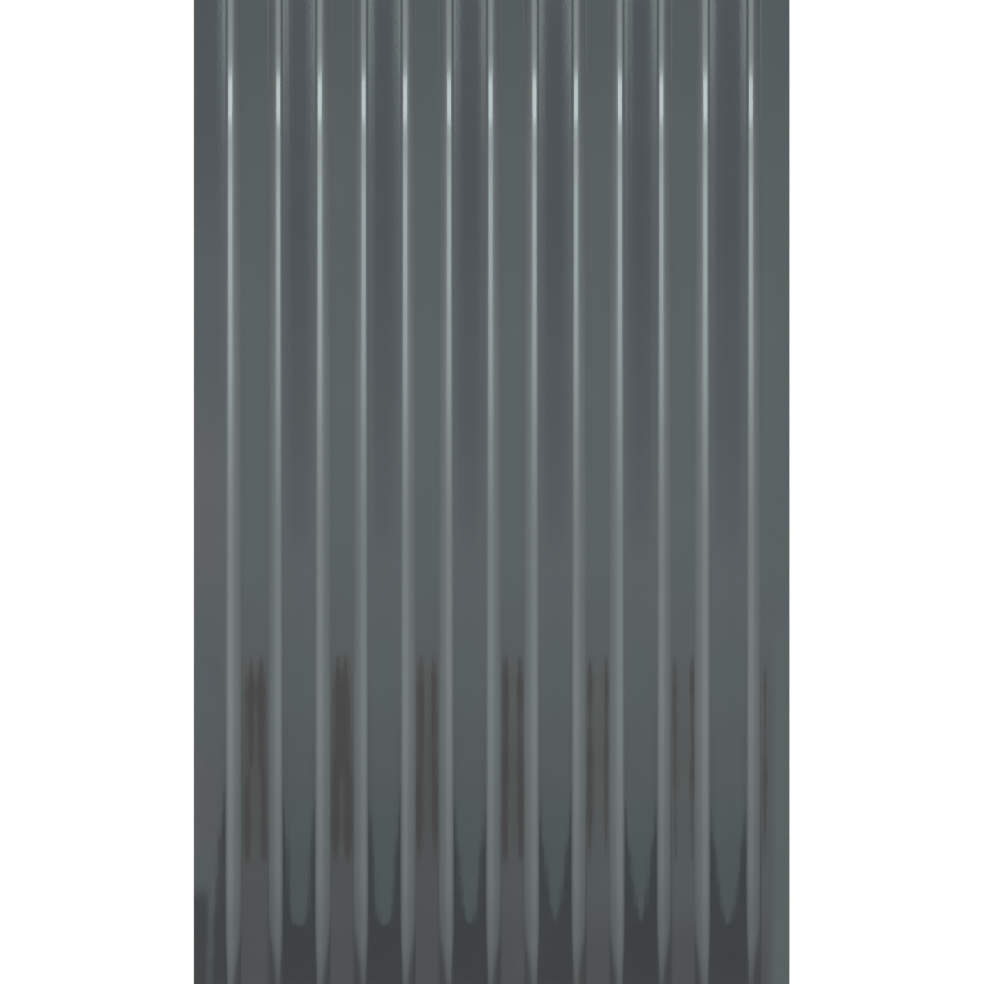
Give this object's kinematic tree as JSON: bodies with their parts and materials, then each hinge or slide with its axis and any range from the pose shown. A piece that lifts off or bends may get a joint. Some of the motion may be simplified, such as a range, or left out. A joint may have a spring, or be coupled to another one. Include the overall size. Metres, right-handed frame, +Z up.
{
  "type": "corrugated metal sheet",
  "caption": "Dark grey coated corrugated steel sheet with rounded trapezoid waves, a flat underlap side and an overlap crest side.",
  "frame": {"origin": "centre of the sheet's length and width, at the undersides of its valleys", "axes": "+Y along the waves, +X across them from the flat underlap side to the overlap crest side, +Z up from the valleys to the crests"},
  "size_m": [0.3626, 0.6, 0.005],
  "materials": {
    "coated_steel": "gloss"
  },
  "bodies": {
    "root": {"corrugated_sheet": "coated_steel"}
  },
  "joints": []
}
